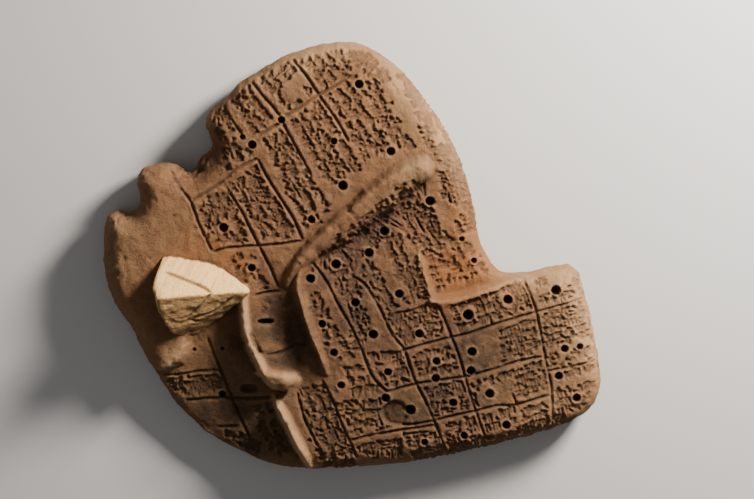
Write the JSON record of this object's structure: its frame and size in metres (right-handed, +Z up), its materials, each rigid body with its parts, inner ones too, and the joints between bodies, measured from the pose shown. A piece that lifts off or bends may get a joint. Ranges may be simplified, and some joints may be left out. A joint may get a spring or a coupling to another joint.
{
  "type": "clay liver model",
  "caption": "Fired clay tablet shaped as a sheep's liver, ruled into squares with peg holes and filled with small wedge marks, with raised ridges and a three-sided finger.",
  "frame": {"origin": "middle of the footprint's bounding box, on the surface that the model lies on", "axes": "+Z is up out of the written face, +X runs along the ruled rows of the squares to the square lobe's end, +Y runs along their columns to the domed lobe"},
  "size_m": [0.1466, 0.146, 0.0338],
  "materials": {
    "clay": "unglazed fired clay, matt and slightly gritty, tan on the rims and ridges, reddish brown in the hollows, with a paler cream finger"
  },
  "bodies": {
    "root": {"clay_liver_model": "clay"}
  },
  "joints": []
}
